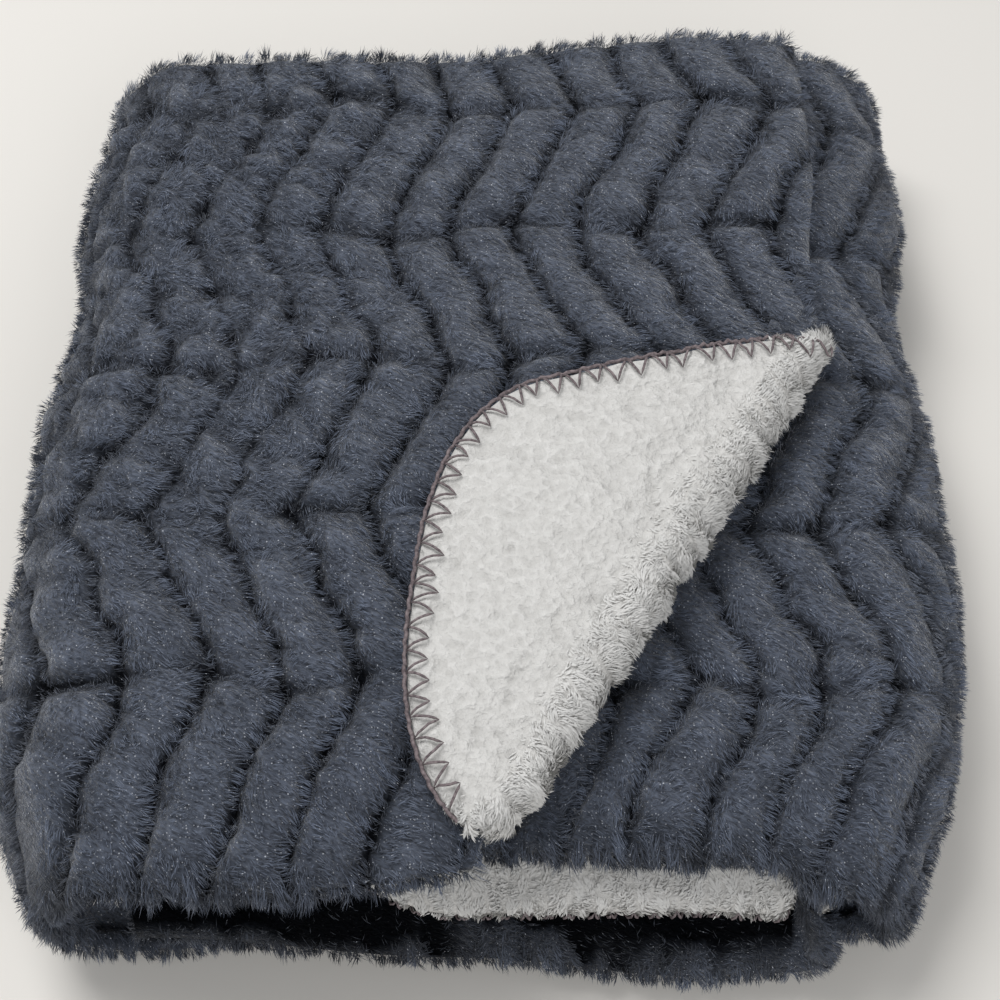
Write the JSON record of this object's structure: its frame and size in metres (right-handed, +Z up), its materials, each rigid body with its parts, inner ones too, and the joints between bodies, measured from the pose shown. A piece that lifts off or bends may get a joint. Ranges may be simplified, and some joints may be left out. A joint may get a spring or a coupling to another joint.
{
  "type": "folded throw blanket",
  "caption": "Soft double-faced throw blanket folded into a thick pack, herringbone-embossed plush outside, sherpa inside, with a corner turned back.",
  "frame": {"origin": "middle of the underside of the pack", "axes": "+Z up, +Y from the front edge, where the layers show, to the back edge, +X to the right along the front"},
  "size_m": [0.3389, 0.368, 0.1088],
  "materials": {
    "plush": "long-pile polyester plush, slate blue-grey, with a fine sparkle",
    "sherpa": "curly polyester sherpa, warm white, matt"
  },
  "bodies": {
    "root": {"plush_face": "plush", "sherpa_back": "sherpa"}
  },
  "joints": []
}
